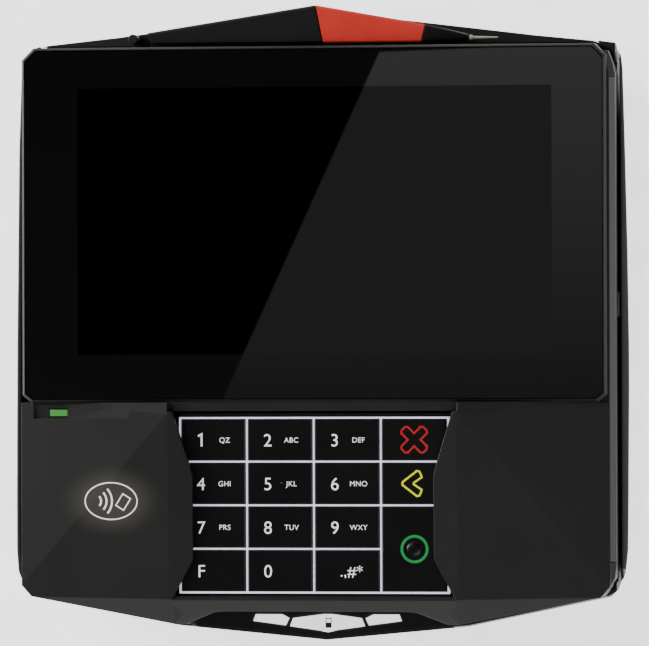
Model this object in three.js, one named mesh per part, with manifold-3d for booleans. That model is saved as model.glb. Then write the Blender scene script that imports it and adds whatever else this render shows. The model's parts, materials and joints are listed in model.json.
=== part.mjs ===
// A countertop card payment terminal: a wedge-shaped case whose deck carries a 7 inch touch display above
// a shielded 15-key keypad, with a stylus in a cradle behind the display, a chip card slot in the front
// edge, a swipe slot down the right side and a tap zone left of the keypad.
//
// Millimetres, +Z up. The row origin is the centre of the footprint, on the surface that the feet stand on.
// Most pieces are placed in the deck frame: x to the right, y up the deck and z out of the glass, with its
// origin on the glass surface. The deck leans back by TILT about x. Feet, cable cover, connector and the
// stand pad are placed in the base frame, which is the row frame.
import * as THREE from 'three';
import { ConvexGeometry } from 'three/addons/geometries/ConvexGeometry.js';
import { mergeVertices } from 'three/addons/utils/BufferGeometryUtils.js';
import Module from 'manifold-3d';

const wasm = await Module();
wasm.setup();

// ---------------------------------------------------------------- driving dimensions

const GAP = 0.3;                   // clearance between pieces that rest on each other
const WALL = 2.2;                  // moulded wall thickness
const TILT = THREE.MathUtils.degToRad(8);
const DECK_Y = -2.85;              // places the deck origin so that the footprint is centred
const DECK_Z = 55.8;
const CENTRE_X = -0.75;            // half the difference between the two sides' widths
const BASE_Z = 2;                  // underside of the case above the table
const FOOT = { radius: 6, height: 2.8, x: 66, front: -66, back: 58 };

const FRAME = { x: 95, top: 89.4, bottom: -25.2, corner: 3.9, rim: 1.2 };   // display surround
const GLASS_THICKNESS = 1.75;
const PARTING = -18;               // joint between the front and the rear housing
const SEAT = PARTING - GAP;        // top of the rear housing

const KEY_PITCH = { x: 21.8, y: 14.05 };
const KEYPAD = { x: 0, top: -30.3, columns: 4, rows: 4 };
const KEY_GAP = 0.7;               // lit groove between two caps
const KEY_TOP = -2;
const GUIDE_GAP = 0.1;             // clearance of a cap in its cell of the light guide
const RIDGE = 47;                  // distance of the shroud's ridges from the middle

const RIM_Z = -13;                 // top of the swipe rail and of the left rim
const SLOT = { inner: 97, outer: 98.5, floor: -27, lean: 0.5 };             // swipe slot
const LIP_Z = -30;                 // top of the lower jaw of the card slot
const CARD_Z = { low: -29.5, high: -27.7 };        // card slot between the plates of the chip reader


// ---------------------------------------------------------------- solids

function solid(geometry) {
  const bare = geometry.index ? geometry.toNonIndexed() : geometry.clone();
  bare.deleteAttribute('normal');
  bare.deleteAttribute('uv');
  const merged = mergeVertices(bare, 1e-3);
  return new wasm.Manifold(new wasm.Mesh({
    numProp: 3,
    vertProperties: merged.attributes.position.array,
    triVerts: new Uint32Array(merged.index.array),
  }));
}

function surface(made) {
  const mesh = made.getMesh();
  const positions = new Float32Array(mesh.numVert * 3);
  for (let i = 0; i < mesh.numVert; i++) {
    positions.set(mesh.vertProperties.subarray(i * mesh.numProp, i * mesh.numProp + 3), i * 3);
  }
  return new THREE.BufferGeometry()
    .setAttribute('position', new THREE.BufferAttribute(positions, 3))
    .setIndex(new THREE.BufferAttribute(mesh.triVerts, 1));
}

const box = (x0, x1, y0, y1, z0, z1) => solid(
  new THREE.BoxGeometry(x1 - x0, y1 - y0, z1 - z0)
    .translate((x0 + x1) / 2, (y0 + y1) / 2, (z0 + z1) / 2));

function prism(outline, z0, z1) {
  const shape = new THREE.Shape(outline.map(([x, y]) => new THREE.Vector2(x, y)));
  return solid(new THREE.ExtrudeGeometry(shape, { depth: z1 - z0, bevelEnabled: false }).translate(0, 0, z0));
}

const hull = (points) => solid(new ConvexGeometry(points.map((p) => new THREE.Vector3(...p))));

// A cylinder along z from z0 to z1.
const rod = (x, y, radius, z0, z1, sides = 20, top = radius) => solid(
  new THREE.CylinderGeometry(top, radius, z1 - z0, sides)
    .rotateX(Math.PI / 2)
    .translate(x, y, (z0 + z1) / 2));

const union = (solids) => solids.reduce((all, one) => all.add(one));
const mirrored = (half) => [...half, ...half.filter(([x]) => x !== 0).reverse().map(([x, y]) => [-x, y])];
const bothSides = (points) => points.flatMap(([x, y, z]) => [[x, y, z], [-x, y, z]]);
const atHeight = (outline, z) => outline.map(([x, y]) => [x, y, z]);

// ---------------------------------------------------------------- frames

const deckMatrix = new THREE.Matrix4()
  .makeRotationX(TILT)
  .setPosition(0, DECK_Y, DECK_Z);
const baseToDeck = deckMatrix.clone().invert();

// A solid made in the base frame, seen from the deck frame.
const seenFromDeck = (made) => solid(surface(made).applyMatrix4(baseToDeck));

// Deck height of the horizontal plane at row height z, above deck position y.
const planeInDeck = (z, y) => (z - DECK_Z - y * Math.sin(TILT)) / Math.cos(TILT);

// Height at (x, y) of the plane through three points.
function heightOnPlane(points, x, y) {
  const plane = new THREE.Plane().setFromCoplanarPoints(...points.map((p) => new THREE.Vector3(...p)));
  return -(plane.normal.x * x + plane.normal.y * y + plane.constant) / plane.normal.z;
}

// ---------------------------------------------------------------- materials and nodes

const finish = (color, roughness, metalness = 0) =>
  new THREE.MeshStandardMaterial({ color, roughness, metalness });
const MATERIALS = {
  case: finish(0x262625, 0.55),
  glass: finish(0x0a0b0c, 0.08),
  panel: finish(0x050505, 0.2),
  key: finish(0x101011, 0.35),
  light: finish(0xe8e9f4, 0.4),
  silver: finish(0xdedede, 0.35, 0.3),
  swipe: finish(0x6f787b, 0.4),
  green: finish(0x59b357, 0.35),
  red: finish(0xc83a2c, 0.45),
  rubber: finish(0x191919, 0.85),
  steel: finish(0x9a9c9e, 0.35, 1),
  board: finish(0x1f4a34, 0.6),
  nib: finish(0xb7ad98, 0.6),
};

const deck = new THREE.Group();
deck.rotation.x = TILT;
deck.position.set(0, DECK_Y, DECK_Z);
const base = new THREE.Group();

function place(group, name, made, material) {
  const mesh = new THREE.Mesh(surface(made), MATERIALS[material]);
  mesh.name = name;
  group.add(mesh);
  return mesh;
}

// ---------------------------------------------------------------- outlines on the deck

// The display surround, drawn inset by t: a rectangle with cut corners.
function frameOutline(t) {
  const { x, top, bottom, corner } = FRAME;
  const cut = corner - 0.4 * t;
  return mirrored([
    [x - t - cut, top - t], [x - t, top - t - cut],
    [x - t, bottom + t + cut * 0.6], [x - t - cut * 0.7, bottom + t],
  ]);
}

// The case in plan. Its back edge is a shallow gable and its front edge a shallow V. The right side, which
// carries the swipe slot, is a little wider than the left.
const RIM_RIGHT = [
  [0, 102], [35, 97], [62, 93.8], [90, 90.9], [97, 89.9], [98.6, 86.3], [99.1, 81.5],
  [99.8, 56], [100.5, 24], [100.9, -8], [100.9, -22], [100.6, -57], [100.4, -73],
  [99.6, -80.5], [98.8, -84], [97.3, -85.6], [94, -87.4], [48.5, -97.1],
];
const RIM_LEFT = [
  [0, -99.5], [48.5, -97.1], [94, -87.5], [97, -85], [98.9, -80], [99.4, -73],
  [99.4, -57], [99.3, -34], [99.1, -8], [98.7, 24], [98.3, 56], [97.4, 81.5],
  [96.2, 86.4], [94, 89.4], [90, 90.9], [62, 93.8], [35, 97],
];
const RIM = [...RIM_RIGHT, ...RIM_LEFT.map(([x, y]) => [-x, y])];
const JAW = mirrored([[93, -88.6], [46.5, -98.4], [0, -102.8]]);
const UNDERSIDE = mirrored([
  [0, 86], [62, 84], [80, 78], [85, 70], [85, -66], [78, -78], [40, -84.5], [0, -86.5],
]);
const inset = (outline, t) => outline.map(([x, y]) => [x - Math.sign(x) * t, y - Math.sign(y) * t]);

// ---------------------------------------------------------------- front housing

// One side of the lower deck: the landing facets, the ridge beside the keypad and the front bevel.
// Inset by t it is the hollow beneath them.
const DECK_SIDE = { edge: 95.8, edgeTop: -2.4, edgeFront: -84.3, corner: [92.6, -87.9], chin: [46, -97] };
const RIDGE_TOP = { back: 2.6, front: -0.6, backY: -28.8, frontY: -88.6 };
function deckSide(side, t, floor) {
  const { edge, edgeTop, edgeFront, corner, chin } = DECK_SIDE;
  const { back, front, backY, frontY } = RIDGE_TOP;
  const overKeys = 38;
  const innerDrop = 0.7;                              // the ridge's top leans down towards the keys
  const napeDrop = 1;                                 // and down towards the display
  const crease = [[RIDGE, backY, back], [edge, edgeFront, edgeTop]];
  const cornerTop = heightOnPlane([...crease, [RIDGE, frontY, front]], corner[0], corner[1]);
  const plan = [
    [overKeys + t, FRAME.bottom - t], [edge - t, FRAME.bottom - t], [edge - t, edgeFront + t],
    [corner[0] - t, corner[1] + t], [chin[0] - t, chin[1] + t], [overKeys + t, -89 + t],
  ];
  return hull([
    [RIDGE, backY - t, back - t],
    [RIDGE, frontY + t, front - t],
    [RIDGE, FRAME.bottom - t, back - napeDrop - t],
    [overKeys + t, backY - t, back - innerDrop - t],
    [overKeys + t, frontY + t, front - innerDrop - t],
    [overKeys + t, FRAME.bottom - t, back - napeDrop - innerDrop - t],
    [edge - t, FRAME.bottom - t, edgeTop - t],
    [edge - t, edgeFront + t, edgeTop - t],
    [corner[0] - t, corner[1] + t, cornerTop - t],
    [corner[0] - t, corner[1] + t, -8],
    [chin[0] - t, chin[1] + t, -7.5],
    ...atHeight(plan, floor),
  ].map(([x, y, z]) => [side * x, y, z]));
}

// The window over the keypad, as a half outline.
const KEYPAD_BACK = -28.1;
const WINDOW = [[45.6, KEYPAD_BACK], [40.6, -43.8], [39.2, -48.6], [39.2, -75.8], [42, -81.2], [45.4, -87.2]];

// The sill along the right edge, whose sloped top holds the swipe light, in section (x, z).
const SILL = [[93, -2.45], [95.65, -2.5], [97.6, -4.3], [97.6, -5.8], [SLOT.inner, PARTING], [93, PARTING]];
const SILL_STATIONS = [                    // [y, how far the edge has turned in, how far the top has dropped]
  [87.2, 2.4, 0.4], [83.5, 0.9, 0.1], [79.5, 0, 0],
  [-77.5, 0, 0], [-81.7, 0.5, 0], [-84.5, 2, 0.3], [-87.6, 4.6, 0.7],
];
const sill = (t) => hull(SILL_STATIONS.flatMap(([y, inward, drop]) => SILL.map(([x, z]) => [
  Math.max(x - inward, 92) + t,
  y + Math.sign(y) * t,
  z === PARTING ? PARTING - t : z - drop,
])));

// The swipe light and its recess in the sill, in section (x, z), and the status lamp's lens in plan.
const SWIPE_LIGHT = {
  front: -76.4,
  back: 78.6,
  section: [[95.2, -3.15], [97.55, -5.4], [97.55, -4.3], [95.8, -2.55]],
};
const SWIPE_RECESS = [[95, -3.16], [99, -6.91], [99, -1.56], [96.6, -1.56]];
const LAMP = { left: -86.3, right: -80.6, low: -29.6, high: -27.5 };

// A section (x, z) swept along y.
const along = (section, y0, y1) => hull(section.flatMap(([x, z]) => [[x, y0, z], [x, y1, z]]));

// The opening that the magnetic head looks through, in both housings.
const HEAD = { y: 6, z: -17.5, length: 12, height: 7 };
const headWindow = () => box(82, 99, HEAD.y - 7.5, HEAD.y + 7.5, HEAD.z - 4.3, HEAD.z + 4.3);

// The mouth in front of the card slot: a wide arch that narrows inwards.
const MOUTH = [[42.8, -8], [30, -3.4], [42.8, LIP_Z]];
const THROAT = [[31, -23.5], [31, LIP_Z + 0.2]];
const acrossAt = (y, section) => section.flatMap(([x, z]) => bothSides([[x, y, z]]));
function mouthCutter() {
  return union([
    hull([...acrossAt(-115, MOUTH), ...acrossAt(-93, MOUTH)]),
    hull([...acrossAt(-93.01, MOUTH), ...acrossAt(-84, THROAT)]),
    hull([...acrossAt(-84.01, THROAT), ...acrossAt(-60, THROAT)]),
  ]);
}

const SCREWS = [[-88, 80], [88, 80], [-87, -72], [87, -72]];

function frontHousing() {
  const surround = hull([
    ...atHeight(frameOutline(0.8), 0),
    ...atHeight(frameOutline(0), -1),
    ...atHeight(frameOutline(0), PARTING),
  ]);
  const chinTop = RIDGE_TOP.front - 0.2;
  const chin = hull(bothSides([
    [RIDGE, -88.9, chinTop], [RIDGE, -84, chinTop], [...DECK_SIDE.chin, -8],
    [...DECK_SIDE.chin, PARTING], [RIDGE, -84, PARTING],
  ]));
  const bridge = hull(bothSides([
    [RIDGE, -24, -0.8], [RIDGE, KEYPAD_BACK, -1.1], [RIDGE, -24, PARTING], [RIDGE, KEYPAD_BACK, PARTING],
  ]));
  const outer = union([surround, chin, sill(0), deckSide(1, 0, PARTING), deckSide(-1, 0, PARTING)])
    .subtract(box(-RIDGE, RIDGE, KEYPAD_BACK, FRAME.bottom, -1.5, 10))
    .add(bridge);

  const below = PARTING - 10;
  const pocketTop = KEY_TOP + 0.4;
  const hollow = union([
    prism(frameOutline(WALL + 0.2), below, -4.4),
    deckSide(1, WALL, below),
    deckSide(-1, WALL, below),
    box(-50, 50, -86.5, -20, below, -8.8),
    box(-45.2, 45.2, -88, -28.2, below, pocketTop),                       // keypad module
  ]);
  const glassPocket = prism(frameOutline(FRAME.rim - GAP), -GLASS_THICKNESS - GAP, 5);
  const panelWindow = box(-84, 84, -18.5, 84.6, -6, 0);
  const keypadWindow = union([
    prism(mirrored(WINDOW), below, 10),
    hull(bothSides([
      [43, -84, pocketTop - 0.2], [45.2, -87.3, pocketTop - 0.2],
      [46.4, -88.8, chinTop + 0.1], [46.4, -88.8, 9], [43, -84, 9],
    ])),
  ]);
  // The lamp's trough starts near the left edge and fades out towards the ridge. Webs carry its floor and
  // the strip behind the keys.
  const webs = outer.intersect(union([
    box(-93.5, -54, -32.4, -24.6, -4.6, 5),
    box(-RIDGE, RIDGE, KEYPAD_BACK, -24.6, -3.2, 5),
  ]));
  const troughFloor = [
    [-91.5, -25.3, -2.5], [-91.5, -30.3, -2.9], [-80, -25.3, -2.1], [-80, -30.3, -2.4],
    [-58, -25.3, 1.6], [-58, -30.3, 1.6],
  ];
  const lampTrough = hull([...troughFloor, ...atHeight(troughFloor, 8)]);
  const lampHole = box(LAMP.left - GAP, LAMP.right + GAP, LAMP.low - GAP, LAMP.high + GAP, -20, 3);

  let made = outer
    .subtract(hollow)
    .subtract(glassPocket)
    .subtract(panelWindow)
    .add(webs)
    .subtract(keypadWindow)
    .subtract(mouthCutter())
    .subtract(lampTrough)
    .subtract(lampHole)
    .subtract(along(SWIPE_RECESS, SWIPE_LIGHT.front - GAP, SWIPE_LIGHT.back + GAP))
    .subtract(headWindow());
  for (const [x, y] of SCREWS) {
    made = made
      .add(rod(x, y, 3.4, PARTING, -3.5, 12))
      .subtract(rod(x, y, 1.7, PARTING - 1, -8, 10));
  }
  return made;
}

// ---------------------------------------------------------------- rear housing

const COMPARTMENT = { x: 34, front: 6, back: 66, ceiling: 20 };             // cable space, base frame
const COVER = {
  x: 37.7, tongue: 39.7, front: 2, back: 79, bottom: 2.2, top: 4.6, tongueLow: 3.4, grooveLow: 3.1,
};
const coverPath = (halfWidth, low) => box(
  -halfWidth, halfWidth, COVER.front - GAP, 110, low, COVER.top + GAP);
const STAND_PAD = { x: 25, front: -62, back: -22, z: 1, screw: [18, 12] };

const CRADLE = { x: 91, seat: -17.8 };
const WAIST = { z: -28, inset: 1.6 };      // the wall leans in to here from the rim, and much more below
function caseBody(t, top) {
  return hull([
    ...atHeight(inset(RIM, t), top),
    ...atHeight(inset(RIM, t + WAIST.inset), WAIST.z),
    ...atHeight(inset(JAW, t), LIP_Z),
    ...inset(UNDERSIDE, t).map(([x, y]) => [x, y, planeInDeck(BASE_Z + t, y)]),
  ]);
}

function rearHousing() {
  const backCorners = union([box(86, 120, 84, 130, SEAT - 1, 21), box(-120, -86, 84, 130, SEAT - 1, 21)]);
  const insideRim = union([
    prism(inset(RIM, 1.5), SEAT, 20).subtract(backCorners),
    box(-120, 120, -130, -86, SEAT, 20),
    prism(frameOutline(-GAP), SEAT, 20),
    deckSide(1, -GAP, SEAT),
    deckSide(-1, -GAP, SEAT),
    sill(GAP),
  ]);
  const cradleSeat = box(-CRADLE.x - GAP, CRADLE.x + GAP, FRAME.top + GAP, 130, CRADLE.seat, 20);
  const swipeSide = box(SLOT.inner - GAP, 120, -120, 120, SLOT.floor, 20);
  let made = caseBody(0, RIM_Z)
    .subtract(insideRim.subtract(box(-120, 120, FRAME.top + GAP, 130, SEAT - 1, CRADLE.seat)))
    .subtract(cradleSeat)
    .subtract(swipeSide);

  const hollow = caseBody(WALL + 0.2, SEAT + 30)
    .subtract(box(SLOT.inner - GAP - WALL, 120, -120, 120, SLOT.floor - WALL, 40))
    .subtract(box(-120, 120, FRAME.top - 2.4, 130, -24, 40))
    .subtract(box(-45, 45, -120, -83, -60, 40));
  made = made.subtract(hollow).subtract(mouthCutter());

  // Screw wells run down from the seat to the underside, with a shelf for each screw head.
  for (const [x, y] of SCREWS) {
    const well = rod(x, y, 5.4, -70, SEAT, 16).intersect(caseBody(0.01, SEAT));
    made = made
      .add(well)
      .subtract(rod(x, y, 3.7, -90, -24, 16))
      .subtract(rod(x, y, 1.9, -30, 0, 10));
  }

  // Cable space, its walls, the sliding cover's rails and the way out at the back.
  const { x, front, back, ceiling } = COMPARTMENT;
  const housing = box(-x - 2 * WALL - 4, x + 2 * WALL + 4, front - WALL, 84, BASE_Z, ceiling + WALL);
  made = made
    .add(seenFromDeck(housing).intersect(caseBody(0.01, SEAT)))
    .subtract(seenFromDeck(box(-x, x, front, back, 0, ceiling)))
    .subtract(seenFromDeck(box(-8, 8, back - 1, 110, 0, 13)))
    .subtract(seenFromDeck(coverPath(COVER.x + GAP, 0)))
    .subtract(seenFromDeck(coverPath(COVER.tongue + GAP, COVER.grooveLow)));

  // Pad for a stand or pole plate, with four screw holes.
  const pad = STAND_PAD;
  made = made.add(seenFromDeck(box(-pad.x, pad.x, pad.front, pad.back, pad.z, BASE_Z + 3)));
  for (const sx of [-1, 1]) {
    for (const sy of [-1, 1]) {
      const y = (pad.front + pad.back) / 2 + sy * pad.screw[1];
      made = made.subtract(seenFromDeck(rod(sx * pad.screw[0], y, 2.1, 0, BASE_Z + 9, 12)));
    }
  }

  // Recesses for the feet, the head window, speaker slots and a lock slot.
  for (const [fx, fy] of footPlaces()) {
    made = made.subtract(seenFromDeck(rod(fx, fy, FOOT.radius + GAP, -5, FOOT.height + GAP, 20)));
  }
  made = made.subtract(headWindow());
  for (let i = 0; i < 6; i++) {
    made = made.subtract(box(-110, -80, 8 + 6 * i, 10.4 + 6 * i, -30, -22));
  }
  made = made.subtract(seenFromDeck(box(-67, -60, 60, 120, 30, 33)));

  // Pockets for the three card slot lights in the lower jaw.
  for (const outline of Object.values(CARD_LIGHTS)) {
    made = made.subtract(prism(grown(outline, GAP), LIP_Z - 2, LIP_Z + 5));
  }
  return made;
}

function footPlaces() {
  return [[-FOOT.x, FOOT.front], [FOOT.x, FOOT.front], [-FOOT.x, FOOT.back], [FOOT.x, FOOT.back]];
}

// ---------------------------------------------------------------- card slot lights

const SIDE_LIGHT = [[24.3, -96.7], [13.8, -98.1], [12.7, -95.8], [15.1, -94.6], [23.5, -94.6]];
const CARD_LIGHTS = {
  left: SIDE_LIGHT.map(([x, y]) => [-x, y]),
  center: mirrored([[0, -100.1], [12.2, -98.4], [11.2, -95.8], [1.5, -94.5]]),
  right: SIDE_LIGHT,
};

// An outline moved outwards from its own middle by d.
function grown(outline, d) {
  const cx = outline.reduce((s, [x]) => s + x, 0) / outline.length;
  const cy = outline.reduce((s, [, y]) => s + y, 0) / outline.length;
  return outline.map(([x, y]) => {
    const r = Math.hypot(x - cx, y - cy);
    return [x + (x - cx) * d / r, y + (y - cy) * d / r];
  });
}

// ---------------------------------------------------------------- stylus and cradle

const STYLUS = {
  left: -54, bandLeft: 0.2, bandRight: 36, coneEnd: 49.6,
  front: FRAME.top + 1.2, bottom: -15.2, top: -6, waist: -9.5, axis: { y: 91.9, z: -10 },
};
const gable = (x) => 102.7 - Math.abs(x) * (x < 0 ? 0.157 : 0.18);  // back edge of the stylus at x

// Points around the stylus at a station [x at the front edge, x at the back edge, y of the back].
function stylusRing([xFront, xBack, yBack]) {
  const { front, bottom, top, waist } = STYLUS;
  const section = [
    [front, bottom + 1], [front, top - 0.4], [front + 0.6, bottom], [front + 0.4, top],
    [yBack - 0.7, top], [yBack, top - 0.7], [yBack, waist], [yBack - 2.4, bottom],
  ];
  return section.map(([y, z]) => [xFront + (xBack - xFront) * (y - front) / (yBack - front), y, z]);
}
const stylusSlice = (from, to) => hull([...stylusRing(from), ...stylusRing(to)]);

// ---------------------------------------------------------------- build: case

place(deck, 'front_housing', frontHousing(), 'case');
place(deck, 'rear_housing', rearHousing(), 'case');
place(deck, 'display_glass', prism(frameOutline(FRAME.rim), -GLASS_THICKNESS, -0.05), 'glass');
place(deck, 'display_panel', box(-82.5, 82.5, -17, 83, -7, -GLASS_THICKNESS - GAP), 'panel');
place(deck, 'display_bracket', union([
  box(-84, 84, -18, 84, -8.3, -7.3),
  box(-84, -83, -18, 84, -8.3, -5),
  box(83, 84, -18, 84, -8.3, -5),
]), 'steel');

// ---------------------------------------------------------------- build: keypad

const keypadLeft = KEYPAD.x - KEYPAD.columns * KEY_PITCH.x / 2;
const keypadBottom = KEYPAD.top - KEYPAD.rows * KEY_PITCH.y;
const KEYS = [
  ['key_1', 0, 0], ['key_2', 1, 0], ['key_3', 2, 0], ['key_cancel', 3, 0],
  ['key_4', 0, 1], ['key_5', 1, 1], ['key_6', 2, 1], ['key_clear', 3, 1],
  ['key_7', 0, 2], ['key_8', 1, 2], ['key_9', 2, 2], ['key_enter', 3, 2, 2],
  ['key_function', 0, 3], ['key_0', 1, 3], ['key_symbols', 2, 3],
];

function keyPlace(column, row, rowSpan = 1) {
  return {
    x: keypadLeft + (column + 0.5) * KEY_PITCH.x,
    y: KEYPAD.top - (row + rowSpan / 2) * KEY_PITCH.y,
    width: KEY_PITCH.x - KEY_GAP,
    height: rowSpan * KEY_PITCH.y - KEY_GAP,
  };
}

// A cap with softened top edges on a round stem, centred on its own origin.
function keyCap(width, height) {
  const x = width / 2;
  const y = height / 2;
  const soft = 0.45;
  const cap = hull(bothSides([
    [x, y, -3], [x, -y, -3], [x, y, -soft], [x, -y, -soft],
    [x - soft, y - soft, 0], [x - soft, soft - y, 0],
  ]));
  return cap.add(rod(0, 0, 2.5, -4.2, -2.8, 12));
}

for (const [name, column, row, rowSpan] of KEYS) {
  const at = keyPlace(column, row, rowSpan);
  place(deck, name, keyCap(at.width, at.height), 'key').position.set(at.x, at.y, KEY_TOP);
}

// White light guide that shows as lines between the caps.
const edge = 0.3;
let lightGrid = box(
  keypadLeft - edge, -keypadLeft + edge, keypadBottom - edge, KEYPAD.top + edge, -5.4, KEY_TOP - 0.35);
for (const [, column, row, rowSpan] of KEYS) {
  const at = keyPlace(column, row, rowSpan);
  const w = at.width / 2 + GUIDE_GAP;
  const h = at.height / 2 + GUIDE_GAP;
  lightGrid = lightGrid.subtract(box(at.x - w, at.x + w, at.y - h, at.y + h, -9, 0));
}
place(deck, 'keypad_light_guide', lightGrid, 'light');

let mat = box(-44.2, 44.2, -87.6, -28.8, -8.6, -7.8);
for (const [, column, row, rowSpan] of KEYS) {
  const at = keyPlace(column, row, rowSpan);
  mat = mat.add(rod(at.x, at.y, 3.6, -8.2, -7.05, 10, 2.2));
}
place(deck, 'keypad_mat', mat, 'rubber');
place(deck, 'keypad_board', box(-44.6, 44.6, -86.2, -29.2, -10.6, -9), 'board');

// ---------------------------------------------------------------- build: electronics

place(deck, 'main_board', union([
  box(-74, 74, -16, 82, -13.6, -12),
  box(-30, 8, 20, 56, -16, -13.5),                    // processor shield
  box(20, 50, 34, 50, -15.4, -13.5),
  box(-62, -42, 30, 66, -15, -13.5),
  box(-20, 24, -12, -4, -15.6, -13.5),                // keypad connector
]), 'board');
place(deck, 'battery_holder', union([
  rod(46, 8, 12, -16.4, -13.9, 20),
  box(44, 60, 5, 11, -16.4, -13.9),
]), 'rubber');
place(deck, 'backup_battery', rod(46, 8, 10, -20, -16.7, 20), 'steel');
place(
  deck, 'antenna_board',
  box(-81, -52, -82, -34, -10, -9).subtract(box(-76, -57, -77, -39, -12, -8)), 'board');
place(deck, 'contactless_light_guide', rod(0, 0, 1, -0.9, 0.9, 24), 'light')
  .scale.set(9.4, 6.8, 1);
deck.getObjectByName('contactless_light_guide').position.set(-65.8, -57, -6.6);
place(deck, 'status_light', hull([
  [LAMP.left, LAMP.high, -2.2], [LAMP.left, LAMP.low, -2.4],
  [LAMP.right, LAMP.high, -2.1], [LAMP.right, LAMP.low, -2.3],
  ...[LAMP.left, LAMP.right].flatMap((x) => [[x, LAMP.high, -5], [x, LAMP.low, -5]]),
]), 'green');
place(deck, 'speaker', rod(-78, 26, 13, -27, -21, 20).add(rod(-78, 26, 8, -31, -26.5, 16)), 'rubber');

// ---------------------------------------------------------------- build: chip card reader

place(deck, 'card_reader_base', box(-30.5, 30.5, -82.5, -36, -33.4, CARD_Z.low), 'rubber');
place(deck, 'card_reader_cover', box(-30.5, 30.5, -82.5, -36, CARD_Z.high, -24.6), 'rubber');
for (const [name, left] of [['card_guide_left', -30.5], ['card_guide_right', 27.6]]) {
  place(deck, name, box(left, left + 2.9, -82.5, -36, CARD_Z.low + GAP, CARD_Z.high - GAP), 'rubber');
}
place(deck, 'card_contact_block', box(-7, 7, -66, -52, -24.3, -21.8), 'steel');
for (const [side, outline] of Object.entries(CARD_LIGHTS)) {
  place(deck, `card_light_${side}`, prism(outline, LIP_Z - 2 + GAP, LIP_Z + 0.4), 'silver');
}

// ---------------------------------------------------------------- build: swipe reader

// The rail is the outer wall of the swipe slot. Its top ramps down at both ends so that a card can enter.
function swipeRail() {
  const thin = 0.8;
  const inside = (inward) => RIM_RIGHT.map(([x, y]) => [Math.min(x - thin, SLOT.outer) - inward, y]);
  const slotSide = hull([
    ...atHeight(inside(0), RIM_Z),
    ...atHeight(inside(0), RIM_Z + 2),
    ...atHeight(inside(SLOT.lean), SLOT.floor - 1),
    ...[-120, 120].flatMap((y) => [[0, y, RIM_Z + 2], [0, y, SLOT.floor - 1]]),
  ]);
  const ramp = (top, foot) => hull([90, 120].flatMap((x) => [
    [x, top, RIM_Z], [x, top, 0], [x, foot, SLOT.floor - 1],
    [x, foot * 1.2, SLOT.floor - 1], [x, foot * 1.2, 0],
  ]));
  return caseBody(0, RIM_Z)
    .intersect(box(SLOT.inner + GAP, 120, -85, 87.5, SLOT.floor + GAP, RIM_Z))
    .subtract(slotSide)
    .subtract(ramp(85, 92))
    .subtract(ramp(-79, -85));
}
place(deck, 'swipe_rail', swipeRail(), 'case');
place(deck, 'swipe_light', along(SWIPE_LIGHT.section, SWIPE_LIGHT.front, SWIPE_LIGHT.back), 'swipe');
const headFace = SLOT.inner + 0.5;
place(deck, 'magnetic_head', union([
  box(headFace - 10.2, headFace - 1.4, HEAD.y - HEAD.length / 2, HEAD.y + HEAD.length / 2,
    HEAD.z - HEAD.height / 2 + 0.5, HEAD.z + 1.7),
  box(headFace - 6, headFace, HEAD.y - 4, HEAD.y + 4, HEAD.z - 2.6, HEAD.z + 1.6),
]), 'steel');
const spring = { x: headFace - 12.6, reach: 20, thick: 0.5, low: HEAD.z - 3.6, high: HEAD.z + 1.6 };
const springFoot = (y0, y1) => box(spring.x, spring.x + 2.3, y0, y1, spring.low, spring.high);
const [springFront, springBack] = [HEAD.y - spring.reach, HEAD.y + spring.reach];
place(deck, 'head_spring', union([
  box(spring.x, spring.x + spring.thick, springFront, springBack, spring.low, spring.high),
  springFoot(springFront, springFront + spring.thick),
  springFoot(springBack - spring.thick, springBack),
]), 'steel');

// ---------------------------------------------------------------- build: stylus

const bandStart = [STYLUS.bandLeft + 2.4, STYLUS.bandLeft, gable(STYLUS.bandLeft)];
const bandEnd = [STYLUS.bandRight - 1.4, STYLUS.bandRight, gable(STYLUS.bandRight)];
const nudge = ([xFront, xBack, yBack], d) => [xFront + d, xBack + d, yBack];
const blunt = [STYLUS.left + 1, STYLUS.left - 0.6, gable(STYLUS.left)];
place(deck, 'stylus_barrel', stylusSlice(blunt, bandStart), 'rubber');
place(deck, 'stylus_band', stylusSlice(nudge(bandStart, GAP), bandEnd), 'red');
const coneTip = [0, 1, 2, 3, 4, 5, 6, 7].map((i) => [
  STYLUS.coneEnd,
  STYLUS.axis.y + 1.2 * Math.cos(i * Math.PI / 4),
  STYLUS.axis.z + 1.2 * Math.sin(i * Math.PI / 4),
]);
place(deck, 'stylus_cone', hull([...stylusRing(nudge(bandEnd, GAP)), ...coneTip]), 'rubber');
const nibProfile = [[0, 0], [0.9, 0], [0.9, 0.8], [0.5, 1.4], [0.25, 9.2], [0, 9.6]]
  .map(([r, h]) => new THREE.Vector2(r, h));
place(deck, 'stylus_nib', solid(new THREE.LatheGeometry(nibProfile, 12)
  .rotateZ(-Math.PI / 2)
  .translate(STYLUS.coneEnd + GAP, STYLUS.axis.y, STYLUS.axis.z)), 'nib');

// The cradle: a tray on the back ledge with a low back rim, and a stop at the stylus's blunt end.
function stylusCradle() {
  const tray = prism([
    [0, 101.9], [35, 96.9], [62, 93.6], [89, 90.8], [CRADLE.x, FRAME.top + 0.9],
    [-CRADLE.x, FRAME.top + 0.9], [-89, 90.8], [-62, 93.6], [-35, 96.9],
  ], CRADLE.seat + GAP, -15.5);
  const rim = prism([
    [0, 101.8], [30, 97.4], [30, 96.2], [0, 101], [-40, 95.2], [-40, 96.2],
  ], -15.6, -14.2);
  return tray.add(rim).add(rod(-60, 92.4, 1.6, -15.6, -9.4, 14));
}
place(deck, 'stylus_cradle', stylusCradle(), 'case');

// ---------------------------------------------------------------- build: underside

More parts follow.
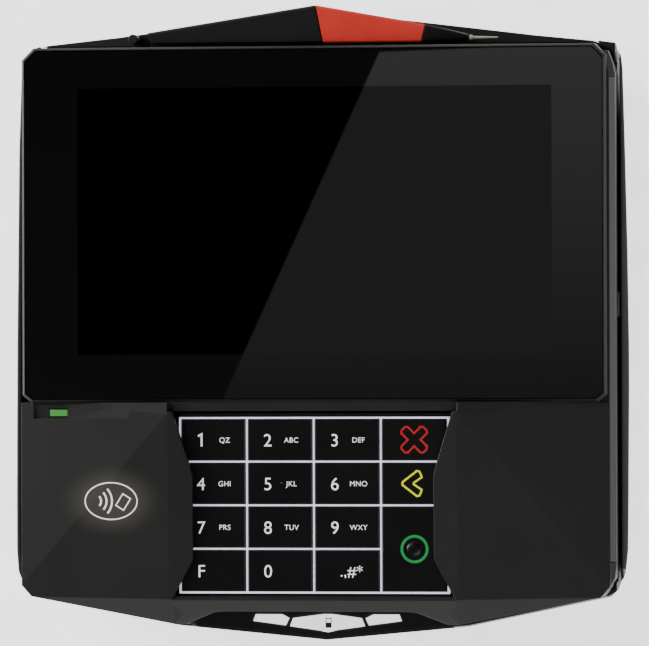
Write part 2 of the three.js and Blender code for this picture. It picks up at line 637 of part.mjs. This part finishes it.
const thumbRib = (y) => box(-12, 12, y, y + 1.2, COVER.bottom - 0.6, COVER.bottom + 0.5);
place(base, 'cable_cover', union([
  box(-COVER.x, COVER.x, COVER.front, COVER.back, COVER.bottom, COVER.top),
  box(-COVER.tongue, COVER.tongue, COVER.front, COVER.back, COVER.tongueLow, COVER.top),
  ...[66, 68.5, 71, 73.5].map(thumbRib),
]), 'case');
place(base, 'cable_connector', union([
  box(-16, 16, 14, 26, 10, COMPARTMENT.ceiling - GAP),
  box(-13, 13, 25.5, 30, 11.5, 18),
]), 'rubber');
footPlaces().forEach(([x, y], i) => {
  place(base, `foot_${i + 1}`, rod(0, 0, FOOT.radius, 0, FOOT.height, 20), 'rubber').position.set(x, y, 0);
});
SCREWS.forEach(([x, y], i) => {
  const screw = rod(0, 0, 2.9, -2, 0, 12)
    .add(rod(0, 0, 1.3, -0.1, 14.5, 10))
    .subtract(rod(0, 0, 1.1, -3, -0.9, 6));
  place(deck, `screw_${i + 1}`, screw, 'steel').position.set(x, y, -24.4);
});

const terminal = new THREE.Group();
terminal.name = 'card_terminal';
terminal.position.x = CENTRE_X;
terminal.add(deck, base);

export default terminal;
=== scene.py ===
"""A countertop card payment terminal: looks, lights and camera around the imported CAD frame."""
import json
import math

import bmesh
import bpy
from mathutils import Matrix, Vector
from mathutils.bvhtree import BVHTree


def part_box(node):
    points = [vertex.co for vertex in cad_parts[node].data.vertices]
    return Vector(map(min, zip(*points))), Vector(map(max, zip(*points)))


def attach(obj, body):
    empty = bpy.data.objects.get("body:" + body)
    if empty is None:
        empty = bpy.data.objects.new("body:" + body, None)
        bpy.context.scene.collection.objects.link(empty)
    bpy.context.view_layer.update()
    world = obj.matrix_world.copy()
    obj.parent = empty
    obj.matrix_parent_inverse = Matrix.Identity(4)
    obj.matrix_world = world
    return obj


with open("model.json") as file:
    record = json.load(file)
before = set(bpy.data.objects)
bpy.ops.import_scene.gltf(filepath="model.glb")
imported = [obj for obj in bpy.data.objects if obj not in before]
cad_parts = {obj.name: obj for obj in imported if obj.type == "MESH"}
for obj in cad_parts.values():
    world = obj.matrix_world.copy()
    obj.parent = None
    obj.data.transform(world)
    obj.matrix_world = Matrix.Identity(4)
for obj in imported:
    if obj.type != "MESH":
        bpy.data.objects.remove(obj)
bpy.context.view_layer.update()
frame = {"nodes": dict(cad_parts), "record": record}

NODES = frame["nodes"]
MM = 0.001

# ---------------------------------------------------------------- the deck's own frame

TILT = math.radians(8)          # the deck leans back about x
GLASS_BACK = 88.2               # back edge of the glass face, in millimetres up the deck from its origin
GLASS_FACE = -0.05              # the glass face, just under the deck's zero plane
GLASS_THICKNESS = 1.7


def deck_matrix():
    """From deck coordinates (x right, y up the deck, z out of the glass face) to the frame's own."""
    low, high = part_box("display_glass")
    turn = Matrix.Rotation(TILT, 4, "X")
    face_edge = Vector(((low.x + high.x) / 2, high.y - GLASS_THICKNESS * MM * math.sin(TILT), high.z))
    origin = face_edge - turn @ (Vector((0, GLASS_BACK, GLASS_FACE)) * MM)
    return Matrix.Translation(origin) @ turn


DECK = deck_matrix()


def deck_point(x, y, z=0.0):
    """A point in the frame, in metres, from deck millimetres."""
    return DECK @ (Vector((x, y, z)) * MM)


# ---------------------------------------------------------------- camera

CAMERA_YAW = math.radians(8.76)     # from the deck's normal towards +x
CAMERA_PITCH = math.radians(0.20)   # from the deck's normal towards the user
CAMERA_ROLL = math.radians(-0.18)
CAMERA_DISTANCE = 2.2
CAMERA_TARGET = (4.02, 0.21, 0)     # deck millimetres
PIXELS_PER_METRE = 3113.3           # at the target
IMAGE_WIDTH = 649


def make_camera():
    back = Vector((
        math.sin(CAMERA_YAW) * math.cos(CAMERA_PITCH),
        -math.sin(CAMERA_PITCH),
        math.cos(CAMERA_YAW) * math.cos(CAMERA_PITCH),
    ))
    level_right = Vector((0, 1, 0)).cross(back).normalized()
    level_up = back.cross(level_right)
    right = level_right * math.cos(CAMERA_ROLL) + level_up * math.sin(CAMERA_ROLL)
    up = level_up * math.cos(CAMERA_ROLL) - level_right * math.sin(CAMERA_ROLL)
    turn = DECK.to_3x3()
    right, up, back = turn @ right, turn @ up, turn @ back
    place = deck_point(*CAMERA_TARGET) + back * CAMERA_DISTANCE
    data = bpy.data.cameras.new("camera")
    data.sensor_width = 36
    data.lens = PIXELS_PER_METRE * CAMERA_DISTANCE / IMAGE_WIDTH * data.sensor_width
    data.clip_end = 50
    camera = bpy.data.objects.new("camera", data)
    camera.matrix_world = Matrix((
        (right.x, up.x, back.x, place.x),
        (right.y, up.y, back.y, place.y),
        (right.z, up.z, back.z, place.z),
        (0, 0, 0, 1),
    ))
    bpy.context.scene.collection.objects.link(camera)
    bpy.context.scene.camera = camera


make_camera()

# ---------------------------------------------------------------- materials


def add_node(tree, kind, **values):
    """A shader node, with values for its sockets or its settings."""
    node = tree.nodes.new(kind)
    for key, value in values.items():
        if key in node.inputs:
            node.inputs[key].default_value = value
        else:
            setattr(node, key, value)
    return node


def link(tree, source, target):
    tree.links.new(source, target)


def add_ramp(tree, source, low, high, start=0.0, end=1.0, **values):
    """A number that goes from low to high while the source goes from start to end."""
    node = add_node(tree, "ShaderNodeMapRange", **values)
    node.inputs["From Min"].default_value, node.inputs["From Max"].default_value = start, end
    node.inputs["To Min"].default_value, node.inputs["To Max"].default_value = low, high
    link(tree, source, node.inputs["Value"])
    return node.outputs["Result"]


def principled(material):
    return material.node_tree.nodes["Principled BSDF"]


GRAIN_SIZE = 0.35               # of the eroded mould texture, millimetres
GRAIN_DEPTH = 0.06              # millimetres


def shade(name, colour, roughness, mottling=0.1, grain=0.0, specular=0.5, metallic=0.0, stretch=(1, 1, 1), edge=0.0):
    """A surface with slight colour mottling and uneven gloss. It may have a fine eroded grain and, in the way
    it catches the light, edges rounded by a radius in millimetres."""
    material = bpy.data.materials.new(name)
    material.use_nodes = True
    tree = material.node_tree
    shader = principled(material)
    place = add_node(tree, "ShaderNodeTexCoord")
    scaled = add_node(tree, "ShaderNodeMapping", Scale=stretch)
    link(tree, place.outputs["Object"], scaled.inputs["Vector"])
    cloud = add_node(tree, "ShaderNodeTexNoise", Scale=45.0, Detail=4.0, Roughness=0.6)
    cloud.name = "cloud"
    link(tree, scaled.outputs["Vector"], cloud.inputs["Vector"])
    tint = add_node(tree, "ShaderNodeValToRGB")
    dark, light = tint.color_ramp.elements
    dark.position, light.position = 0.3, 0.7
    dark.color = (*[c * (1 - mottling) for c in colour], 1)
    light.color = (*[min(c * (1 + mottling), 1) for c in colour], 1)
    link(tree, cloud.outputs["Fac"], tint.inputs["Fac"])
    link(tree, tint.outputs["Color"], shader.inputs["Base Color"])
    gloss = add_ramp(tree, cloud.outputs["Fac"], roughness * 0.88, min(roughness * 1.12, 1))
    link(tree, gloss, shader.inputs["Roughness"])
    shader.inputs["Specular IOR Level"].default_value = specular
    shader.inputs["Metallic"].default_value = metallic
    rounded = None
    if edge:
        rounded = add_node(tree, "ShaderNodeBevel", samples=6, Radius=edge * MM)
        link(tree, rounded.outputs["Normal"], shader.inputs["Normal"])
    if grain:
        speck = add_node(tree, "ShaderNodeTexNoise", Scale=1 / (GRAIN_SIZE * MM), Detail=2.0)
        link(tree, scaled.outputs["Vector"], speck.inputs["Vector"])
        bump = add_node(tree, "ShaderNodeBump", Strength=grain, Distance=GRAIN_DEPTH * MM)
        link(tree, speck.outputs["Fac"], bump.inputs["Height"])
        if rounded:
            link(tree, rounded.outputs["Normal"], bump.inputs["Normal"])
        link(tree, bump.outputs["Normal"], shader.inputs["Normal"])
    return material


def lit(name, colour, strength, roughness=0.4):
    """A translucent moulding with a lamp behind it, a little brighter in some places."""
    material = shade(name, colour, roughness)
    tree = material.node_tree
    shader = principled(material)
    shader.inputs["Emission Color"].default_value = (*colour, 1)
    level = add_ramp(tree, tree.nodes["cloud"].outputs["Fac"], strength * 0.9, strength * 1.1)
    link(tree, level, shader.inputs["Emission Strength"])
    return material


def in_deck_frame(tree):
    """The x and y of a surface point in the deck's frame, in metres."""
    place = add_node(tree, "ShaderNodeTexCoord")
    deck = add_node(tree, "ShaderNodeMapping", vector_type="TEXTURE")
    deck.inputs["Location"].default_value = DECK.translation
    deck.inputs["Rotation"].default_value = (TILT, 0, 0)
    link(tree, place.outputs["Object"], deck.inputs["Vector"])
    split = add_node(tree, "ShaderNodeSeparateXYZ")
    link(tree, deck.outputs["Vector"], split.inputs["Vector"])
    return split.outputs["X"], split.outputs["Y"]


def calculate(tree, operation, *values):
    """A sum on numbers or on the outputs of other nodes."""
    node = add_node(tree, "ShaderNodeMath", operation=operation)
    for slot, value in zip(node.inputs, values):
        if isinstance(value, (int, float)):
            slot.default_value = value
        else:
            link(tree, value, slot)
    return node.outputs["Value"]


WINDOW = {"x": 0.5, "y": 33.2, "width": 154.2, "height": 85.9}      # lit area of the display, deck millimetres
BORDER_FRONT, BORDER_BACK = -25, 88     # reach of the printed border up the deck, millimetres


def cover_glass():
    """Black glass: a printed border, more mirror-like towards the back, around a deep black window."""
    material = shade("display_glass", (0.004, 0.004, 0.0045), 0.012, specular=0.5)
    tree = material.node_tree
    shader = principled(material)
    x, y = in_deck_frame(tree)
    across = calculate(tree, "ABSOLUTE", calculate(tree, "SUBTRACT", x, WINDOW["x"] * MM))
    along = calculate(tree, "ABSOLUTE", calculate(tree, "SUBTRACT", y, WINDOW["y"] * MM))
    inside = calculate(
        tree, "MULTIPLY",
        calculate(tree, "LESS_THAN", across, WINDOW["width"] / 2 * MM),
        calculate(tree, "LESS_THAN", along, WINDOW["height"] / 2 * MM))
    towards_back = add_ramp(tree, y, 0.0, 1.0, start=BORDER_FRONT * MM, end=BORDER_BACK * MM)
    border = add_node(tree, "ShaderNodeValToRGB")
    near, far = border.color_ramp.elements
    near.color = (0.0055, 0.0055, 0.0054, 1)
    far.color = (0.0045, 0.0045, 0.0046, 1)
    link(tree, towards_back, border.inputs["Fac"])
    sheen = add_node(tree, "ShaderNodeMix", data_type="FLOAT")
    sheen.inputs["B"].default_value = 0.5
    link(tree, inside, sheen.inputs["Factor"])
    link(tree, add_ramp(tree, towards_back, 0.2, 1.0), sheen.inputs["A"])
    link(tree, sheen.outputs["Result"], shader.inputs["Specular IOR Level"])
    both = add_node(tree, "ShaderNodeMix", data_type="RGBA")
    link(tree, inside, both.inputs["Factor"])
    link(tree, border.outputs["Color"], both.inputs["A"])
    both.inputs["B"].default_value = (0.0005, 0.0005, 0.0006, 1)
    link(tree, both.outputs["Result"], shader.inputs["Base Color"])
    return material


TAP_ZONE = (-65.8, -57.0)       # centre of the tap symbol, deck millimetres
TAP_PAINTED_GLOW_REACH = (19, 13.5)     # half axes of the painted glow around it, millimetres


def case_plastic(name, edge):
    return shade(name, (0.0105, 0.0105, 0.0098), 0.5, grain=0.4, specular=0.28, edge=edge)


def front_plastic_painted_glow():
    """The case plastic, with a painted warm glow that the plastic itself emits around the tap symbol."""
    material = case_plastic("case_front_painted_glow", edge=0.5)
    tree = material.node_tree
    shader = principled(material)
    squares = []
    for source, centre, half_axis in zip(in_deck_frame(tree), TAP_ZONE, TAP_PAINTED_GLOW_REACH):
        offset = calculate(tree, "DIVIDE", calculate(tree, "SUBTRACT", source, centre * MM), half_axis * MM)
        squares.append(calculate(tree, "MULTIPLY", offset, offset))
    reach = calculate(tree, "SQRT", calculate(tree, "ADD", *squares))
    # painted glow: warm emission on the case plastic, strongest near the tap symbol and fading out at its half axes
    glow = add_ramp(tree, reach, 0.045, 0.0, start=0.25, end=1.0, interpolation_type="SMOOTHERSTEP")
    shader.inputs["Emission Color"].default_value = (1.0, 0.89, 0.78, 1)
    link(tree, glow, shader.inputs["Emission Strength"])
    return material


def circuit_board():
    """Green solder mask over fine copper tracks."""
    material = shade("circuit_board", (0.012, 0.07, 0.03), 0.4)
    tree = material.node_tree
    place = add_node(tree, "ShaderNodeTexCoord")
    tracks = add_node(tree, "ShaderNodeTexBrick", Scale=220.0)
    tracks.inputs["Mortar Size"].default_value = 0.03
    tracks.inputs["Color1"].default_value = (0.012, 0.07, 0.03, 1)
    tracks.inputs["Color2"].default_value = (0.015, 0.085, 0.036, 1)
    tracks.inputs["Mortar"].default_value = (0.05, 0.16, 0.06, 1)
    link(tree, place.outputs["Object"], tracks.inputs["Vector"])
    link(tree, tracks.outputs["Color"], principled(material).inputs["Base Color"])
    return material


LOOKS = {
    "case_plastic": case_plastic("case_plastic", edge=0.5),
    "display_glass": cover_glass(),
    "display_panel": shade("display_panel", (0.004, 0.004, 0.005), 0.2),
    "key_plastic": shade("key_plastic", (0.0032, 0.0032, 0.0031), 0.3, grain=0.1, specular=0.35),
    "key_light": lit("key_light", (0.78, 0.78, 0.98), 0.75),
    "swipe_lens": shade("swipe_lens", (0.037, 0.043, 0.046), 0.4, specular=0.3),
    "slot_lens": lit("slot_lens", (0.8, 0.8, 0.79), 1.7),
    "status_lens": lit("status_lens", (0.05, 0.26, 0.045), 0.42),
    "stylus_red": shade("stylus_red", (0.62, 0.027, 0.017), 0.5, grain=0.3, specular=0.3),
    "stylus_black": shade("stylus_black", (0.0045, 0.0045, 0.0045), 0.5, grain=0.4, specular=0.2, edge=0.4),
    "stylus_tip": shade("stylus_tip", (0.4, 0.35, 0.28), 0.5),
    "foot_rubber": shade("foot_rubber", (0.012, 0.012, 0.012), 0.85, grain=0.6),
    "keypad_rubber": shade("keypad_rubber", (0.03, 0.03, 0.032), 0.8, grain=0.4),
    "steel": shade("steel", (0.55, 0.56, 0.57), 0.35, metallic=1.0, stretch=(1, 12, 12)),
    "circuit_board": circuit_board(),
    "black_resin": shade("black_resin", (0.015, 0.015, 0.016), 0.6, grain=0.3),
}
# the front housing's plastic, with the painted glow around the tap symbol
FRONT_PAINTED_GLOW = front_plastic_painted_glow()
# The swipe rail is the case plastic painted about nine times lighter: painted light, standing in for a lamp from the
# right catching the rail.
RAIL_PAINTED_LIGHTER = shade("rail_plastic_painted_lighter", (0.095, 0.095, 0.098), 0.4, grain=0.4, edge=1.2)
REAR = case_plastic("case_rear", edge=1.0)
WHITE_PRINT = lit("white_print", (0.85, 0.85, 0.88), 0.65)
RED_PRINT = lit("red_print", (0.36, 0.004, 0.009), 0.5)
YELLOW_PRINT = lit("yellow_print", (0.60, 0.60, 0.004), 0.6)
GREEN_PRINT = lit("green_print", (0.005, 0.22, 0.045), 0.5)
TAP_PRINT = lit("tap_print", (0.85, 0.80, 0.72), 0.6)
DARK_PRINT = shade("dark_print", (0.02, 0.02, 0.02), 0.5)
LABEL = shade("rating_label", (0.42, 0.43, 0.43), 0.5, mottling=0.03)


def dress_frame():
    """Gives every CAD node its finish."""
    for entry in frame["record"]["subparts"]:
        node = NODES[entry["node"]]
        node.data.materials.clear()
        node.data.materials.append(LOOKS[entry["material_slot"]])
    # the front housing gets the case plastic with the painted glow around the tap symbol
    NODES["front_housing"].data.materials[0] = FRONT_PAINTED_GLOW
    NODES["rear_housing"].data.materials[0] = REAR
    # the swipe rail gets the case plastic painted lighter, as painted light
    NODES["swipe_rail"].data.materials[0] = RAIL_PAINTED_LIGHTER


SOFT_EDGES = {                  # edge radius of each moulded piece, millimetres
    "front_housing": 0.6, "rear_housing": 0.6, "swipe_rail": 0.25, "stylus_cradle": 0.35, "cable_cover": 0.4,
    "stylus_barrel": 0.4, "stylus_band": 0.4, "stylus_cone": 0.4, "swipe_light": 0.12, "status_light": 0.2,
    "card_light_left": 0.25, "card_light_center": 0.25, "card_light_right": 0.25, "display_glass": 0.25,
    "foot_1": 0.5, "foot_2": 0.5, "foot_3": 0.5, "foot_4": 0.5, "magnetic_head": 0.3,
}


def soften(node, width):
    """Dissolves the facets of flat faces, then rounds the sharp edges."""
    thing = NODES[node]
    flat = thing.modifiers.new("flat", "DECIMATE")
    flat.decimate_type = "DISSOLVE"
    flat.angle_limit = math.radians(0.3)
    edge = thing.modifiers.new("edge", "BEVEL")
    edge.width = width * MM
    edge.segments = 3
    edge.limit_method = "ANGLE"
    edge.angle_limit = math.radians(22)
    edge.use_clamp_overlap = True


dress_frame()
for soft_node, soft_width in SOFT_EDGES.items():
    soften(soft_node, soft_width)

# ---------------------------------------------------------------- printed marks

PRINT_LIFT = 0.03               # millimetres between a surface and the print on it
SIGN_LINE = 0.62                # width of the lines of a sign, millimetres
THIN_LINE = 0.42
CAPITAL_HEIGHT = 0.73           # of the built-in lettering, per unit of its size


def flat_mesh(name, polygons, surface):
    """A print made of polygons in deck millimetres. surface(x, y) gives the deck height under each corner."""
    made = bmesh.new()
    for polygon in polygons:
        corners = [made.verts.new(deck_point(x, y, surface(x, y) + PRINT_LIFT)) for x, y in polygon]
        made.faces.new(corners)
    bmesh.ops.remove_doubles(made, verts=made.verts, dist=1e-6)
    bmesh.ops.recalc_face_normals(made, faces=made.faces)
    mesh = bpy.data.meshes.new(name)
    made.to_mesh(mesh)
    made.free()
    return mesh


def add_piece(name, mesh, material, body):
    mesh.materials.append(material)
    piece = bpy.data.objects.new(name, mesh)
    bpy.context.scene.collection.objects.link(piece)
    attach(piece, body)
    return piece


def left_of(step):
    return Vector((-step.y, step.x))


def line(path, width, closed=False):
    """Quads along a path of (x, y) points, with mitred joins."""
    points = [Vector(p) for p in path]
    count = len(points)
    pieces = count if closed else count - 1
    steps = [(points[(i + 1) % count] - points[i]).normalized() for i in range(pieces)]
    sides = []
    for i, point in enumerate(points):
        step_in = steps[i - 1] if closed or i else steps[0]
        step_out = steps[min(i, pieces - 1)]
        across = left_of((step_in + step_out).normalized())
        mitre = 1 / max(across.dot(left_of(step_in)), 0.4)
        reach = across * (width / 2 * mitre)
        sides.append((point + reach, point - reach))
    return [(*sides[i], *reversed(sides[(i + 1) % count])) for i in range(pieces)]


def arc(centre, radius, start, end, steps=24, squeeze=1.0):
    return [(centre[0] + radius * math.cos(math.radians(start + (end - start) * i / steps)),
             centre[1] + radius * squeeze * math.sin(math.radians(start + (end - start) * i / steps)))
            for i in range(steps + 1)]


def turned(points, degrees, centre):
    turn = Matrix.Rotation(math.radians(degrees), 2)
    return [tuple(turn @ Vector(p) + Vector(centre)) for p in points]


def glyphs(text, height, centre):
    """Triangles of plain lettering, its capitals as high as height, in deck millimetres."""
    curve = bpy.data.curves.new("lettering", "FONT")
    curve.body = text
    curve.align_x = "CENTER"
    curve.space_character = 1.05
    thing = bpy.data.objects.new("lettering", curve)
    bpy.context.scene.collection.objects.link(thing)
    bpy.context.view_layer.update()
    mesh = bpy.data.meshes.new_from_object(thing.evaluated_get(bpy.context.evaluated_depsgraph_get()))
    scale = height / CAPITAL_HEIGHT
    x, y = centre
    found = [[(x + mesh.vertices[i].co.x * scale, y - height / 2 + mesh.vertices[i].co.y * scale)
              for i in face.vertices] for face in mesh.polygons]
    bpy.data.objects.remove(thing)
    bpy.data.curves.remove(curve)
    bpy.data.meshes.remove(mesh)
    return found


KEY_TOP = -2.0                  # deck height of the key caps
LEGENDS = {                     # key: (main sign, small letters)
    "key_1": ("1", "QZ"), "key_2": ("2", "ABC"), "key_3": ("3", "DEF"), "key_4": ("4", "GHI"),
    "key_5": ("5", "JKL"), "key_6": ("6", "MNO"), "key_7": ("7", "PRS"), "key_8": ("8", "TUV"),
    "key_9": ("9", "WXY"), "key_function": ("F", ""), "key_0": ("0", ""), "key_symbols": (".,#*", ""),
}


def node_centre(node):
    """Centre of a CAD node in deck millimetres."""
    low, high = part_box(node)
    return DECK.inverted() @ ((low + high) / 2) / MM


def key_surface(x, y):
    return KEY_TOP


def key_dome(key, centre, radius, height):
    """A low round bump on a key."""
    name = f"{key}_dot"
    made = bmesh.new()
    rings, sides = 5, 20
    previous = None
    for ring in range(rings):
        angle = math.pi / 2 * ring / rings
        outline = arc(centre, radius * math.cos(angle), 0, 360, sides)[:-1]
        current = [made.verts.new(deck_point(x, y, KEY_TOP + height * math.sin(angle))) for x, y in outline]
        if previous:
            for i in range(sides):
                made.faces.new((previous[i], previous[(i + 1) % sides], current[(i + 1) % sides], current[i]))
        previous = current
    top = made.verts.new(deck_point(*centre, KEY_TOP + height))
    for i in range(sides):
        made.faces.new((previous[i], previous[(i + 1) % sides], top))
    mesh = bpy.data.meshes.new(name)
    made.to_mesh(mesh)
    made.free()
    mesh.shade_smooth()
    add_piece(name, mesh, LOOKS["key_plastic"], key)


def key_legends():
    for key, (sign, letters) in LEGENDS.items():
        centre = node_centre(key)
        if sign == "1":
            x, y = centre.x - 4.0, centre.y
            shapes = line([(x - 0.95, y + 1.2), (x + 0.2, y + 1.85), (x + 0.2, y - 2.1)], 0.6)   # without a foot
        elif len(sign) == 1:
            shapes = glyphs(sign, 4.2, (centre.x - 4.0, centre.y))
        else:
            shapes = glyphs(sign, 3.6, (centre.x + 1.3, centre.y))
        if letters:
            shapes += glyphs(letters, 1.75, (centre.x + 3.7, centre.y))
        add_piece(f"legend_{key}", flat_mesh(f"legend_{key}", shapes, key_surface), WHITE_PRINT, key)
    centre = node_centre("key_5")
    key_dome("key_5", (centre.x + 0.7, centre.y + 0.1), 0.55, 0.35)


def cross_sign(centre):
    """The outline of a broad cross with rounded ends, turned by an eighth."""
    half, length, end = 1.45, 5.0, 0.9
    one_arm = ([(half, half), (length - end, half)] + arc((length - end, half - end), end, 90, 0, 6)
               + arc((length - end, end - half), end, 0, -90, 6) + [(half, -half)])
    points = []
    for quarter in (0, -90, -180, -270):
        points += turned(one_arm, quarter, (0, 0))[:-1]
    return line(turned(points, 45, centre), SIGN_LINE, closed=True)


def back_sign(centre):
    """The outline of a broad chevron that points left."""
    half = 1.3
    x, y = centre
    tip, tail, rise = -2.3, 1.6, 3.0
    slope = math.atan2(rise, tail - tip)
    dx, dy = half * math.sin(slope), half * math.cos(slope)
    outer_tip = tip - half / math.sin(slope) * 0.72
    inner_tip = tip + half / math.sin(slope)
    end = 0.8
    points = [(outer_tip, 0.45), (tail - dx, rise + dy)]
    points += [(tail - dx + end, rise + dy - 0.1), (tail + dx - 0.2, rise - dy + end), (tail + dx, rise - dy)]
    points += [(inner_tip, 0.25), (inner_tip, -0.25)]
    points += [(tail + dx, dy - rise), (tail + dx - 0.2, dy - rise - end), (tail - dx + end, 0.1 - rise - dy)]
    points += [(tail - dx, -rise - dy), (outer_tip, -0.45)]
    return line([(x + px, y + py) for px, py in points], SIGN_LINE, closed=True)


def key_signs():
    for key, shape, material in (
            ("key_cancel", cross_sign, RED_PRINT), ("key_clear", back_sign, YELLOW_PRINT)):
        centre = node_centre(key)
        mesh = flat_mesh(f"sign_{key}", shape((centre.x, centre.y)), key_surface)
        add_piece(f"sign_{key}", mesh, material, key)
    centre = node_centre("key_enter")
    ring = line(arc((centre.x, centre.y), 4.1, 0, 360, 48)[:-1], 0.9, closed=True)
    add_piece("sign_key_enter", flat_mesh("sign_key_enter", ring, key_surface), GREEN_PRINT, "key_enter")
    key_dome("key_enter", (centre.x, centre.y), 2.5, 0.5)


def on_front_housing():
    """Deck height of the front housing under a deck point."""
    mesh = NODES["front_housing"].data
    tree = BVHTree.FromPolygons([v.co for v in mesh.vertices], [tuple(p.vertices) for p in mesh.polygons])
    down = DECK.to_3x3() @ Vector((0, 0, -1))
    back = DECK.inverted()

    def height(x, y):
        hit = tree.ray_cast(deck_point(x, y, 30), down)[0]
        return (back @ hit).z / MM
    return height


def tap_symbol():
    """A generic tap sign: an ellipse around three arcs and a tilted card."""
    x, y = TAP_ZONE
    shapes = line(arc((x, y), 8.6, 0, 360, 64, squeeze=0.69)[:-1], THIN_LINE, closed=True)
    for radius in (2.3, 4.1, 5.9):
        shapes += line(arc((x - 5.6, y), radius, -42, 42, 10), SIGN_LINE)
    card = [(-1.5, -2.2), (1.5, -2.2), (1.5, 2.2), (-1.5, 2.2)]
    shapes += line(turned(card, -32, (x + 4.0, y - 0.3)), THIN_LINE, closed=True)
    add_piece("tap_sign", flat_mesh("tap_sign", shapes, on_front_housing()), TAP_PRINT, "terminal_case")


key_legends()
key_signs()
tap_symbol()

# ---------------------------------------------------------------- card slot sign and label

LIP_LIGHT_TOP = -29.6           # deck height of the card slot's lights


def lip_surface(x, y):
    return LIP_LIGHT_TOP


def card_slot_sign():
    x, y = 0.5, -97.3
    shapes = [[(x - 1.0, y - 1.6), (x + 1.0, y - 1.6), (x + 1.0, y + 0.1), (x - 1.0, y + 0.1)]]
    shapes += line([(x - 0.85, y + 0.1), (x - 0.85, y + 1.5), (x + 0.85, y + 1.5), (x + 0.85, y + 0.1)], 0.3)
    mesh = flat_mesh("card_slot_sign", shapes, lip_surface)
    add_piece("card_slot_sign", mesh, DARK_PRINT, "terminal_case")


def rating_label():
    """A blank label on the underside."""
    width, depth, thickness = 46 * MM, 15 * MM, 0.15 * MM
    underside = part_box("rear_housing")[0].z + 1 * MM        # the stand pad reaches 1 mm lower
    made = bmesh.new()
    bmesh.ops.create_cube(made, size=1)
    bmesh.ops.scale(made, vec=(width, depth, thickness), verts=made.verts)
    bmesh.ops.translate(made, vec=(0, -11 * MM, underside - thickness / 2), verts=made.verts)
    mesh = bpy.data.meshes.new("rating_label")
    made.to_mesh(mesh)
    made.free()
    add_piece("rating_label", mesh, LABEL, "terminal_case")


card_slot_sign()
rating_label()

# ---------------------------------------------------------------- stage


def area_light(name, place, aim, size, power):
    data = bpy.data.lights.new(name, "AREA")
    data.shape = "RECTANGLE"
    data.size, data.size_y = size
    data.energy = power
    lamp = bpy.data.objects.new(name, data)
    lamp.location = place
    lamp.rotation_euler = (Vector(aim) - Vector(place)).to_track_quat("-Z", "Y").to_euler()
    bpy.context.scene.collection.objects.link(lamp)


def reflector_card():
    """A dim glowing card high above the deck: its slanted edge shows in the glass."""
    height = 1000
    edge_front, edge_back = (-203.7, -43.1), (-123.7, 130.6)
    corners = [(*edge_front, height), (-10, -43.1, height), (-10, 134, height), (*edge_back, height)]
    mesh = bpy.data.meshes.new("reflector_card")
    mesh.from_pydata([deck_point(*corner) for corner in corners], [], [(0, 1, 2, 3)])
    card = bpy.data.objects.new("reflector_card", mesh)
    bpy.context.scene.collection.objects.link(card)
    glow = shade("reflector_glow", (0.002, 0.002, 0.002), 0.9, specular=0.0)
    shader = principled(glow)
    shader.inputs["Emission Color"].default_value = (1, 1, 1, 1)
    shader.inputs["Emission Strength"].default_value = 0.37
    mesh.materials.append(glow)


def studio_world():
    """Bright around the horizon, dark straight above, so that the glass stays black."""
    world = bpy.data.worlds.new("studio")
    bpy.context.scene.world = world
    world.use_nodes = True
    tree = world.node_tree
    sky = tree.nodes["Background"]
    place = add_node(tree, "ShaderNodeTexCoord")
    split = add_node(tree, "ShaderNodeSeparateXYZ")
    link(tree, place.outputs["Generated"], split.inputs["Vector"])
    fade = add_ramp(tree, split.outputs["Z"], 0.16, 0.0, start=0.75, end=0.93)
    link(tree, fade, sky.inputs["Strength"])
    sky.inputs["Color"].default_value = (1, 1, 1, 1)


def make_stage():
    bpy.ops.mesh.primitive_plane_add(size=8)
    floor = bpy.context.object
    floor.name = "floor"
    paint = lit("floor_paint", (0.93, 0.93, 0.93), 1.9, roughness=0.9)
    floor.data.materials.append(paint)
    studio_world()
    reflector_card()
    area_light("soft_left", (-1.56, 0.4, 0.43), (0, 0, 0.04), (0.6, 1.2), 46)
    area_light("soft_top", (-1.0, 0.4, 1.35), (0, 0, 0), (0.7, 0.7), 8)
    area_light("soft_front", (0.4, -1.0, 1.3), (0, 0, 0), (1.0, 0.8), 7.5)
    area_light("soft_back", (0.3, 1.7, 0.9), (0, 0, 0), (1.6, 0.7), 3)
    area_light("soft_right", (1.5, 0.1, 0.9), (0, 0, 0), (0.9, 1.2), 2)
    area_light("low_left", (-1.4, 0.0, 0.22), (0, 0, 0.03), (0.3, 1.0), 8)
    area_light("low_right", (1.4, 0.0, 0.22), (0, 0, 0.03), (0.3, 1.0), 4)


make_stage()
